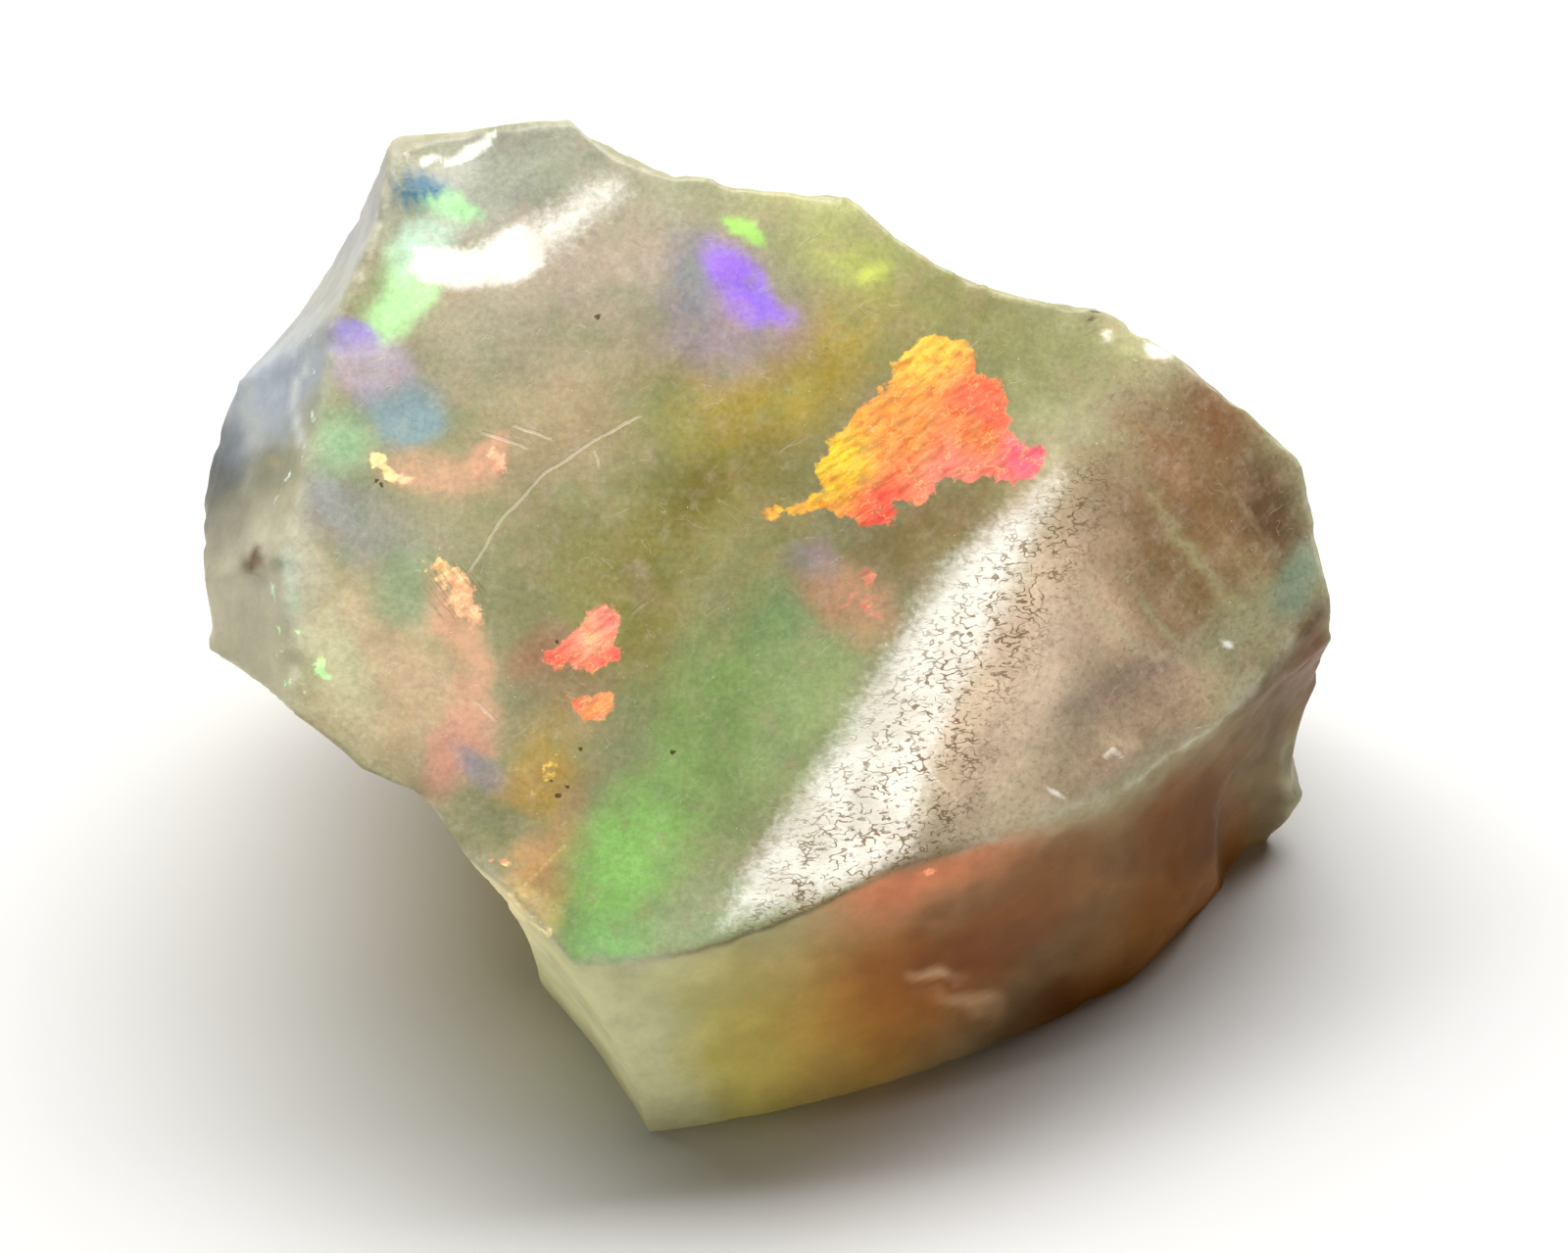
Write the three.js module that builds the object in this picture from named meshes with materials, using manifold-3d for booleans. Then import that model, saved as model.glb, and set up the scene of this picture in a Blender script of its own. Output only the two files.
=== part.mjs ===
// A piece of rough precious opal from Ethiopia, about the size of a thumbnail: one lump, as it was broken from its
// seam and never cut or polished. Millimetres, +Z up, with the origin in the middle of the base.
//
// Opal breaks like glass, in smooth bowls and domes that meet at crisp rims. The stone is a block from which each
// break takes one piece away. The breaks are given in the frame of the broad face: u runs to the right along it,
// v up it and w out of it. The whole stone then leans back until it stands on the flat break underneath.

import * as THREE from "three";
import { mergeVertices } from "three/addons/utils/BufferGeometryUtils.js";
import Module from "manifold-3d";

const wasm = await Module();
wasm.setup();

// Driving dimensions
const BROAD_FACE_LEAN = 35; // degrees that the broad face leans back from level
const BASE_DEPTH = 4.9; // from the start of u, v and w down to the base
const BASE_MIDDLE = [-0.25, -0.36]; // middle of the base, before the stone is centred on it
const BLOCK_LOW = [-10.5, -9.5, -9]; // the block before the first break
const BLOCK_HIGH = [10, 9.5, 6];
const BREAK_REACH = 14; // half width of what a flat or domed break takes away
const BREAK_DEPTH = 24; // thickness of what a break takes away
const BOWL_LIFT = 5; // how far a bowl's surface is followed up its sides
const FINEST_CELL = 0.2; // grid on the tightest bends
const COARSEST_CELL = 0.6;
const CELLS_PER_RADIUS = 12;
const SLIVER = 0.005; // points nearer to the surface than this are merged away

const radians = THREE.MathUtils.degToRad;
const lean = radians(BROAD_FACE_LEAN);

// Each break passes through the point at, faces a heading measured from u towards v and a rise towards w, both in
// degrees, and is bent with a radius level with the face and a radius up and down it: above 0 a hollow, below 0 a
// dome, and 0 flat. A turned break has its two bends turned in its own plane by that many degrees.
const BREAKS = {
  broadFace: { at: [-3, 1.5, 4.1], heading: 110, rise: 87, bends: [-90, -60] },
  trough: { at: [2.05, 0.46, 3.5], heading: -90, rise: 89, bends: [0, 6.2], turned: 60 },
  rightFace: { at: [3.9, 0.3, 3.75], heading: -22, rise: 66, bends: [-40, -40] },
  rimBevel: { at: [6.65, -1.82, 1.98], heading: -48, rise: 46, bends: [12, 0] },

  frontWall: { at: [1.3, -5.85, 1.57], heading: -66.5, rise: 38, bends: [-21, 0], turned: -13 },
  frontRightWall: { at: [5.6, -4.83, 0.88], heading: -36.7, rise: 23.4, bends: [0, -13], turned: -22.7 },
  rightFrontWall: { at: [8.22, -1.78, -0.92], heading: -31.7, rise: 26.4, bends: [-18.7, 4.6], turned: -41.5 },
  rightWaist: { at: [8.5, -2.54, -1.92], heading: 0, rise: 4.2, bends: [-5.4, 1.87], turned: -33 },
  rightCorner: { at: [8.6, 2, 1.8], heading: 16, rise: -10, bends: [0, 0] },
  rightSide: { at: [9.1, 0.2, 1.2], heading: -2.6, rise: -3, bends: [-25, 18] },
  rightUnder: { at: [7.6, 0.6, -3.2], heading: 12, rise: -46, bends: [0, 14] },
  footGroove: { at: [7.5, -3.2, -2.1], heading: -34, rise: 22, bends: [1, 9], turned: -20 },

  frontCorner: { at: [-3.08, -6.31, 1.8], heading: -144, rise: 9.4, bends: [12, 0] },
  leftFront: { at: [-6.3, -2.62, 3.4], heading: -140, rise: -10, bends: [6, 0] },
  leftFrontScoop: { at: [-5.5, -2.85, 3.3], heading: -134, rise: -12, bends: [2.9, 20] },
  leftFrontUnder: { at: [-6.6, -3.4, 0.2], heading: -132, rise: -14, bends: [12, 12] },
  leftUnder: { at: [-8.3, 0.1, -0.6], heading: -160, rise: -30, bends: [12, 10] },

  leftLedgeHigh: { at: [-7.65, 3, 3.55], heading: 165, rise: 28, bends: [14, 14] },
  leftLedgeLow: { at: [-8.2, 0.3, 3.6], heading: 189, rise: 34, bends: [10, 14] },
  leftEdgeHigh: { at: [-9.3, 2.9, 1.2], heading: 165, rise: -14, bends: [-8, 0] },
  leftEdgeLow: { at: [-9.2, 0.6, 1.2], heading: 186, rise: -14, bends: [10, 0] },
  leftBackBevel: { at: [-8, 4.55, 2.2], heading: 136, rise: 12, bends: [5, 0] },
  leftTopBevel: { at: [-6.65, 6.9, 3], heading: 160, rise: 15, bends: [4, 0] },

  topEdge: { at: [-4.6, 8.1, 3], heading: 93, rise: -8, bends: [-30, 0] },
  topScallopLeft: { at: [-2.5, 7.45, 3.2], heading: 65, rise: -4, bends: [2.6, 6] },
  topScallopMiddle: { at: [-0.55, 7, 3.2], heading: 80, rise: -6, bends: [5.5, 12] },
  topShoulder: { at: [1.4, 6.75, 3.2], heading: 66, rise: -8, bends: [0, 0] },
  topDip: { at: [2.75, 5.65, 3.2], heading: 65, rise: -3, bends: [5.2, 12] },
  topRightChip: { at: [6.1, 4.45, 3.1], heading: 80, rise: 55, bends: [1.1, 1.4] },
  topFarRight: { at: [6.4, 4.3, 2.8], heading: 57, rise: -6, bends: [-30, 0] },

  base: {
    at: [0, -BASE_DEPTH * Math.sin(lean), -BASE_DEPTH * Math.cos(lean)],
    heading: -90,
    rise: BROAD_FACE_LEAN - 90,
    bends: [0, 0],
  },
  backWallLeft: { at: [-4, 5.4, -1.6], heading: 107, rise: -40, bends: [24, 30] },
  backWallRight: { at: [4.5, 3.6, -2.2], heading: 64, rise: -30, bends: [-30, 18] },
  backScoop: { at: [1, 3.9, -3.6], heading: 84, rise: -46, bends: [7, 9] },
  backUnder: { at: [0, 1, -4.8], heading: 75, rise: -75, bends: [0, 16] },
  backUnderLeft: { at: [-5, 1, -4.2], heading: 179, rise: -55, bends: [0, 0] },

  cornerScoop: { at: [-5.78, 9.05, 2.9], heading: 90, rise: 90, bends: [9, 9] },
  cornerChip: { at: [-5.6, 8.3, 2.6], heading: 90, rise: 90, bends: [1.6, 1.6] },
};

function toSolid(geometry) {
  geometry.deleteAttribute("normal");
  geometry.deleteAttribute("uv");
  const merged = mergeVertices(geometry);
  return new wasm.Manifold(
    new wasm.Mesh({
      numProp: 3,
      vertProperties: new Float32Array(merged.attributes.position.array),
      triVerts: new Uint32Array(merged.index.array),
    }),
  );
}

function toGeometry(solid) {
  const mesh = solid.getMesh();
  const geometry = new THREE.BufferGeometry();
  geometry.setAttribute("position", new THREE.BufferAttribute(mesh.vertProperties, 3));
  geometry.setIndex(new THREE.BufferAttribute(mesh.triVerts, 1));
  return geometry;
}

// Half width that a bend of this radius is followed to, and the number of grid cells across it
function spread(radius) {
  const halfWidth = radius > 0 ? Math.min(BREAK_REACH, Math.sqrt(2 * radius * BOWL_LIFT)) : BREAK_REACH;
  if (radius === 0) return { halfWidth, cells: 1 };
  const cell = THREE.MathUtils.clamp(Math.abs(radius) / CELLS_PER_RADIUS, FINEST_CELL, COARSEST_CELL);
  return { halfWidth, cells: Math.ceil((2 * halfWidth) / cell) };
}

// What one break takes away: a thick slab whose inner side is a parabola in each of its two directions, at a height
// of half the distance squared over the radius
function takenAway({ at, heading, rise, bends, turned = 0 }) {
  const [levelRadius, slopeRadius] = bends;
  const level = spread(levelRadius);
  const slope = spread(slopeRadius);
  const slab = new THREE.BoxGeometry(
    2 * slope.halfWidth,
    2 * level.halfWidth,
    BREAK_DEPTH,
    slope.cells,
    level.cells,
  );
  slab.translate(0, 0, BREAK_DEPTH / 2);
  const points = slab.attributes.position;
  for (let i = 0; i < points.count; i++) {
    if (points.getZ(i) > BREAK_DEPTH / 2) continue;
    const alongSlope = slopeRadius ? points.getX(i) ** 2 / slopeRadius : 0;
    const alongLevel = levelRadius ? points.getY(i) ** 2 / levelRadius : 0;
    points.setZ(i, (alongSlope + alongLevel) / 2);
  }
  slab.rotateZ(radians(turned));
  slab.rotateY(radians(90 - rise));
  slab.rotateZ(radians(heading));
  slab.translate(...at);
  return toSolid(slab);
}

function roughStone() {
  const low = new THREE.Vector3(...BLOCK_LOW);
  const high = new THREE.Vector3(...BLOCK_HIGH);
  const size = high.clone().sub(low);
  const middle = low.clone().add(high).multiplyScalar(0.5);
  const block = new THREE.BoxGeometry(size.x, size.y, size.z).translate(middle.x, middle.y, middle.z);
  let stone = toSolid(block);
  for (const oneBreak of Object.values(BREAKS)) {
    stone = stone.subtract(takenAway(oneBreak));
  }
  return toGeometry(stone.asOriginal().simplify(SLIVER));
}

// Raw precious opal: a cloudy honey body with a waxy, broken surface
const rawOpal = new THREE.MeshStandardMaterial({ color: 0xa89a80, roughness: 0.35, metalness: 0 });

const opal = new THREE.Mesh(roughStone(), rawOpal);
opal.name = "opal";
opal.geometry.rotateX(lean);
opal.geometry.translate(-BASE_MIDDLE[0], -BASE_MIDDLE[1], BASE_DEPTH);

const group = new THREE.Group();
group.add(opal);

export default group;
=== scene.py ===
import bpy
import numpy as np
from mathutils import Matrix, Vector


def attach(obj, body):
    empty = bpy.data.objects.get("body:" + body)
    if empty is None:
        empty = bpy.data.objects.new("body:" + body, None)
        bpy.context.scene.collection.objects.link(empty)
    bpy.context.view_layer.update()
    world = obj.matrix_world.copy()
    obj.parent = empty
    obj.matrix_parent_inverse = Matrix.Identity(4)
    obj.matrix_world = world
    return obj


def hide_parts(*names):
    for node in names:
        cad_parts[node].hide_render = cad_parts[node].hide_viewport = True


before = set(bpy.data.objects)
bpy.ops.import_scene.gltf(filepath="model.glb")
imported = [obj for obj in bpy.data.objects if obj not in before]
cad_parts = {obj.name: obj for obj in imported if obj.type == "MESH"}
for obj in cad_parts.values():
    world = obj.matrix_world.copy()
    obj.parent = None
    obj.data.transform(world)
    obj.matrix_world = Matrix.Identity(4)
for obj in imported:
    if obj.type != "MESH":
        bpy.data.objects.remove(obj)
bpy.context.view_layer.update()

# The stone: one piece of rough precious opal from Ethiopia, which is silica with water in it, cloudy and honey brown,
# with flecks of spectral colour inside. It was broken out of its seam by hand and never cut, so every face is a break:
# a bowl, a dome or a flat that meets the next one at a crisp rim.
MM = 0.001
LEAN = np.radians(35)  # the broad face leans back this far from level
STAND = np.array([0.25, 0.36, 4.9])  # from the start of u, v and w to the middle of the base, mm
lean_up = np.array([[1, 0, 0], [0, np.cos(LEAN), np.sin(LEAN)], [0, -np.sin(LEAN), np.cos(LEAN)]])

# Each break: a point on it, its heading and rise in degrees, its two bend radii (hollow above 0, dome below, 0 flat)
# and its turn. They are in the frame of the broad face: u to the right, v up it and w out of it, in mm.
BREAKS = {
    "broad face": ((-3, 1.5, 4.1), 110, 87, (-90, -60), 0),
    "trough": ((2.05, 0.46, 3.5), -90, 89, (0, 6.2), 60),
    "right face": ((3.9, 0.3, 3.75), -22, 66, (-40, -40), 0),
    "corner scoop": ((-5.78, 9.05, 2.9), 90, 90, (9, 9), 0),
    "corner chip": ((-5.6, 8.3, 2.6), 90, 90, (1.6, 1.6), 0),
    "rim bevel": ((6.65, -1.82, 1.98), -48, 46, (12, 0), 0),
    "top right chip": ((6.1, 4.45, 3.1), 80, 55, (1.1, 1.4), 0),
    "front wall": ((1.3, -5.85, 1.57), -66.5, 38, (-21, 0), -13),
    "front right wall": ((5.6, -4.83, 0.88), -36.7, 23.4, (0, -13), -22.7),
    "right front wall": ((8.22, -1.78, -0.92), -31.7, 26.4, (-18.7, 4.6), -41.5),
    "right waist": ((8.5, -2.54, -1.92), 0, 4.2, (-5.4, 1.87), -33),
    "right corner": ((8.6, 2, 1.8), 16, -10, (0, 0), 0),
    "right side": ((9.1, 0.2, 1.2), -2.6, -3, (-25, 18), 0),
    "right under": ((7.6, 0.6, -3.2), 12, -46, (0, 14), 0),
    "foot groove": ((7.5, -3.2, -2.1), -34, 22, (1, 9), -20),
    "front corner": ((-3.08, -6.31, 1.8), -144, 9.4, (12, 0), 0),
    "left front": ((-6.3, -2.62, 3.4), -140, -10, (6, 0), 0),
    "left front scoop": ((-5.5, -2.85, 3.3), -134, -12, (2.9, 20), 0),
    "left front under": ((-6.6, -3.4, 0.2), -132, -14, (12, 12), 0),
    "left under": ((-8.3, 0.1, -0.6), -160, -30, (12, 10), 0),
    "left ledge high": ((-7.65, 3, 3.55), 165, 28, (14, 14), 0),
    "left ledge low": ((-8.2, 0.3, 3.6), 189, 34, (10, 14), 0),
    "left edge high": ((-9.3, 2.9, 1.2), 165, -14, (-8, 0), 0),
    "left edge low": ((-9.2, 0.6, 1.2), 186, -14, (10, 0), 0),
    "left back bevel": ((-8, 4.55, 2.2), 136, 12, (5, 0), 0),
    "left top bevel": ((-6.65, 6.9, 3), 160, 15, (4, 0), 0),
    "top edge": ((-4.6, 8.1, 3), 93, -8, (-30, 0), 0),
    "top scallop left": ((-2.5, 7.45, 3.2), 65, -4, (2.6, 6), 0),
    "top scallop middle": ((-0.55, 7, 3.2), 80, -6, (5.5, 12), 0),
    "top shoulder": ((1.4, 6.75, 3.2), 66, -8, (0, 0), 0),
    "top dip": ((2.75, 5.65, 3.2), 65, -3, (5.2, 12), 0),
    "top far right": ((6.4, 4.3, 2.8), 57, -6, (-30, 0), 0),
    "base": ((0, -4.9 * np.sin(LEAN), -4.9 * np.cos(LEAN)), -90, -55, (0, 0), 0),
    "back wall left": ((-4, 5.4, -1.6), 107, -40, (24, 30), 0),
    "back wall right": ((4.5, 3.6, -2.2), 64, -30, (-30, 18), 0),
    "back scoop": ((1, 3.9, -3.6), 84, -46, (7, 9), 0),
    "back under": ((0, 1, -4.8), 75, -75, (0, 16), 0),
    "back under left": ((-5, 1, -4.2), 179, -55, (0, 0), 0),
}
NAMES = list(BREAKS)
FACING_UP = NAMES[:7]  # the breaks inside the rim
WORN_TOGETHER = NAMES[:5]  # these meet in soft creases
HEART = np.array([0.0, 0.0, 0.0])  # the surface is measured out from here
CREASE_ROUNDING = 0.14  # how far a soft crease's corner is worn, mm
RIM_ROUNDING = 0.035
FACE_CELLS = 220  # across the faces inside the rim
WALL_RINGS = 46  # from the rim down to the base
BASE_RINGS = 8
CHIP_DEPTH = 0.16  # deepest nibble out of a rim, mm
CHIP_WIDTH = 0.3
RIM_WIDTH = 0.13  # of the pale edge around the faces that look up, painted light showing through the thin rim, mm


def break_axes(name):
    """Point, outward direction and two bend directions of a break: level with the broad face, and up and down the
    break, both turned in the break's own plane. The bends come back as one over the radius."""
    at, heading, rise, bends, turned = BREAKS[name]
    heading, rise, turned = np.radians([heading, rise, turned])
    out = np.array([np.cos(rise) * np.cos(heading), np.cos(rise) * np.sin(heading), np.sin(rise)])
    level = np.array([-np.sin(heading), np.cos(heading), 0])
    slope = np.cross(out, level)
    first = level * np.cos(turned) + slope * np.sin(turned)
    second = slope * np.cos(turned) - level * np.sin(turned)
    curves = [1 / radius if radius else 0 for radius in bends]
    return np.array(at, float), out, first, second, curves


def reaches(towards):
    """Distance from the heart to every break along each direction, one row for each break. A break is the place
    where out = first squared / (2 radius) + second squared / (2 radius), so along a straight line the distance is
    the nearer root of a quadratic; where there is none, the break is out of reach."""
    rows = []
    for name in NAMES:
        at, out, first, second, (curve_1, curve_2) = break_axes(name)
        start = HEART - at
        step_1, step_2, start_1, start_2 = towards @ first, towards @ second, start @ first, start @ second
        square = -(curve_1 * step_1**2 + curve_2 * step_2**2) / 2
        plain = towards @ out - curve_1 * start_1 * step_1 - curve_2 * start_2 * step_2
        constant = start @ out - (curve_1 * start_1**2 + curve_2 * start_2**2) / 2
        inner = plain**2 - 4 * square * constant
        below = plain + np.sqrt(np.maximum(inner, 0))
        met = (inner >= 0) & (below > 1e-9)
        rows.append(np.where(met, -2 * constant / np.where(met, below, 1), 1000))
    return np.array(rows)


def softly_nearest(rows, rounding):
    """Smooth minimum of the rows: minus rounding times the logarithm of the sum of exp(-row / rounding). Also the
    share that each row has in it."""
    nearest = rows.min(0)
    share = np.exp((nearest - rows) / rounding)
    total = share.sum(0)
    return nearest - rounding * np.log(total), share / total


def direction(tilt, turn):
    """Unit vector tilted away from w by one angle and turned about it by another. Past a right angle it is tilted on
    towards straight down, so that the last one meets the base."""
    level = np.stack([np.cos(turn), np.sin(turn), np.zeros_like(turn)], -1)
    pole = np.where(np.cos(tilt)[..., None] > 0, [0, 0, 1], [0, -np.sin(LEAN), -np.cos(LEAN)])
    towards = np.sin(tilt)[..., None] * level + np.abs(np.cos(tilt))[..., None] * pole
    return towards / np.linalg.norm(towards, axis=-1, keepdims=True)


def tilt_where(turn, inner, steps=26):
    """For each turn about w, the tilt at which the surface leaves the inner breaks for the others, by halving."""
    inside = np.isin(NAMES, inner)
    low, high = np.zeros_like(turn), np.full_like(turn, np.pi)
    for _ in range(steps):
        middle = (low + high) / 2
        rows = reaches(direction(middle, turn))
        still_inside = rows[inside].min(0) < rows[~inside].min(0)
        low, high = np.where(still_inside, middle, low), np.where(still_inside, high, middle)
    return (low + high) / 2


def stone_directions():
    """Directions for a closed grid. A square grid is bent into a disc, its rings becoming circles, and stretched to
    the rim, for the faces inside it. Rings go on from the disc's border down the walls to the foot, and over the
    base to the point under the heart. Also the quads and the last ring's triangles."""
    side = np.linspace(-1, 1, FACE_CELLS + 1)
    a, b = np.meshgrid(side, side, indexing="ij")
    wide = np.abs(a) >= np.abs(b)
    ring = np.where(wide, a, b)
    part = np.where(wide, b, a) / np.where(ring == 0, 1, ring)
    turn = np.where(wide, part, 2 - part) * np.pi / 4 + np.pi * (ring < 0)

    table_turn = np.linspace(0, 2 * np.pi, 3600, endpoint=False)
    rim_table = tilt_where(table_turn, FACING_UP)
    foot_table = tilt_where(table_turn, [name for name in NAMES if name != "base"])
    rim = np.interp(turn, table_turn, rim_table, period=2 * np.pi)
    face = direction(np.abs(ring) * rim, turn).reshape(-1, 3)

    index = np.arange(a.size).reshape(a.shape)
    border = np.concatenate([index[:-1, 0], index[-1, :-1], index[:0:-1, -1], index[0, :0:-1]])
    border_turn = turn.ravel()[border]
    border_rim = rim.ravel()[border]
    border_foot = np.interp(border_turn, table_turn, foot_table, period=2 * np.pi)
    border_foot = np.maximum(border_foot, border_rim + 0.02)
    down = np.linspace(0, 1, WALL_RINGS + 1)[1:, None]
    under = np.linspace(0, 1, BASE_RINGS + 1)[1:-1, None]
    wall_tilt = border_rim + (border_foot - border_rim) * down
    base_tilt = border_foot + (np.pi - border_foot) * under
    ring_tilt = np.concatenate([wall_tilt, base_tilt])
    rings = direction(ring_tilt, np.broadcast_to(border_turn, ring_tilt.shape))

    towards = np.concatenate([face, rings.reshape(-1, 3), direction(np.pi * np.ones(1), np.zeros(1))])
    ring_index = a.size + np.arange(ring_tilt.size).reshape(ring_tilt.shape)
    rows = np.concatenate([border[None], ring_index])
    after = np.roll(rows, -1, axis=1)
    face_quads = np.stack([index[:-1, :-1], index[1:, :-1], index[1:, 1:], index[:-1, 1:]], -1)
    ring_quads = np.stack([rows[:-1], rows[1:], after[1:], after[:-1]], -1)
    last = len(towards) - 1
    fan = np.stack([rows[-1], np.full_like(rows[-1], last), after[-1]], -1)
    return towards, np.concatenate([face_quads.reshape(-1, 4), ring_quads.reshape(-1, 4)]), fan


def sheets(rows):
    """The rows with the breaks that are worn together put first as one row."""
    worn = np.isin(NAMES, WORN_TOGETHER)
    worn_reach, worn_share = softly_nearest(rows[worn], CREASE_ROUNDING)
    return np.concatenate([worn_reach[None], rows[~worn]]), worn_share


def moved_to_rims(towards, quads, step=1e-4):
    """Directions that pass within half a cell of the line where two breaks meet, moved on to it, so that the rims come
    out straight. The move is the gap between the two nearest sheets divided by its slope, against that slope. Shallow
    creases, where the gap hardly slopes, are left as they are."""
    cell = np.full(len(towards), 1.0)
    for corner in range(4):
        here, after = quads[:, corner], quads[:, corner - 1]
        length = np.linalg.norm(towards[here] - towards[after], axis=1)
        np.minimum.at(cell, here, length)
        np.minimum.at(cell, after, length)
    side = np.cross(towards, np.where(np.abs(towards[:, :1]) < 0.7, [1, 0, 0], [0, 1, 0]))
    side /= np.linalg.norm(side, axis=1, keepdims=True)
    other = np.cross(towards, side)
    rows, _ = sheets(reaches(towards))
    nearest, second = np.argsort(rows, axis=0)[:2]
    point = np.arange(len(towards))
    gap = rows[second, point] - rows[nearest, point]
    slopes = []
    for way in (side, other):
        moved, _ = sheets(reaches(towards + step * way))
        slopes.append((moved[second, point] - moved[nearest, point] - gap) / step)
    steepness = slopes[0] ** 2 + slopes[1] ** 2 + 1e-12
    close = (gap / np.sqrt(steepness) < 0.5 * cell) & (steepness > (0.3 * rows[nearest, point]) ** 2)
    move = -gap / steepness * close
    moved = towards + move[:, None] * (slopes[0][:, None] * side + slopes[1][:, None] * other)
    return moved / np.linalg.norm(moved, axis=1, keepdims=True)


CHANCE = np.random.default_rng(5).uniform(-1, 1, (64, 64, 64))


def cloudy(points, size, shift=0):
    """Smooth random value between -1 and 1: the corners of a lattice with cells of the given size, in mm, hold
    random values, and a point takes the mix of the eight around it, eased by 3 t squared - 2 t cubed."""
    place = points / size + shift
    cell = np.floor(place).astype(int)
    part = place - cell
    part = part * part * (3 - 2 * part)
    total = 0
    for corner in np.ndindex(2, 2, 2):
        x, y, z = ((cell + corner) & 63).T
        weight = np.abs(1 - np.array(corner) - part).prod(-1)
        total = total + CHANCE[x, y, z] * weight
    return total


def smooth_step(value, low, high):
    """0 below low and 1 above high, with an eased rise between them."""
    part = np.clip((value - low) / (high - low), 0, 1)
    return part * part * (3 - 2 * part)


towards, quads, fan = stone_directions()
towards = moved_to_rims(moved_to_rims(towards, quads), quads)
rows, worn_share = sheets(reaches(towards))
reach, share = softly_nearest(rows, RIM_ROUNDING)
on = dict(zip(WORN_TOGETHER, worn_share * share[0]))
on.update(zip([name for name in NAMES if name not in WORN_TOGETHER], share[1:]))
place = HEART + towards * reach[:, None]

# Each quad is cut into two triangles along the diagonal that lies nearer to the surface
quad_middle = towards[quads].mean(1)
quad_middle /= np.linalg.norm(quad_middle, axis=1, keepdims=True)
middle_reach, _ = softly_nearest(sheets(reaches(quad_middle))[0], RIM_ROUNDING)
true_middle = HEART + quad_middle * middle_reach[:, None]
miss = [np.linalg.norm((place[quads[:, i]] + place[quads[:, i + 2]]) / 2 - true_middle, axis=1) for i in (0, 1)]
turned_quads = np.where((miss[0] <= miss[1])[:, None], quads, np.roll(quads, -1, axis=1))
triangles = np.concatenate([turned_quads[:, [0, 1, 2]], turned_quads[:, [0, 2, 3]], fan])

# Outward direction at each point, from the slope of each break there
outward = np.zeros_like(place)
for name in NAMES:
    at, out, first, second, (curve_1, curve_2) = break_axes(name)
    from_at = place - at
    slope = out - curve_1 * (from_at @ first)[:, None] * first - curve_2 * (from_at @ second)[:, None] * second
    outward += on[name][:, None] * slope / np.linalg.norm(slope, axis=1, keepdims=True)
outward /= np.linalg.norm(outward, axis=1, keepdims=True)

# Relief: nibbles along the rims, ripples that run down the walls, a slow wave over the broad face and fine pits on the
# wall of the trough that the light catches
RIPPLE_DEPTH, WAVE_DEPTH, PIT_DEPTH = 0.02, 0.02, 0.03  # mm
nearest_two = np.partition(rows, 1, axis=0)[:2]
rim_nearness = np.exp(-(nearest_two[1] - nearest_two[0]) / CHIP_WIDTH)
nibble = np.clip(0.6 * cloudy(place, 0.75) + 0.5 * cloudy(place, 0.3, 9) - 0.05, 0, 1)
ripple = 1 - np.abs(cloudy(place * (1, 0.22, 0.22), 0.45, 3))
slow_wave = cloudy(place, 2.2, 7)
fine_pits = np.clip(cloudy(place, 0.22, 5) - 0.1, 0, 1)
facing_up = sum(on[name] for name in FACING_UP)
towards_light = outward @ np.array([-0.853, 0.522, 0])
lit_wall = on["trough"] * smooth_step(towards_light, 0.08, 0.2)
depth = CHIP_DEPTH * rim_nearness * nibble
depth += RIPPLE_DEPTH * (1 - facing_up) * np.clip(ripple, 0, 1) ** 3
depth += WAVE_DEPTH * facing_up * (1 + slow_wave)
depth += PIT_DEPTH * lit_wall * fine_pits
depth *= 1 - on["base"]
place = place - outward * depth[:, None]
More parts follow.
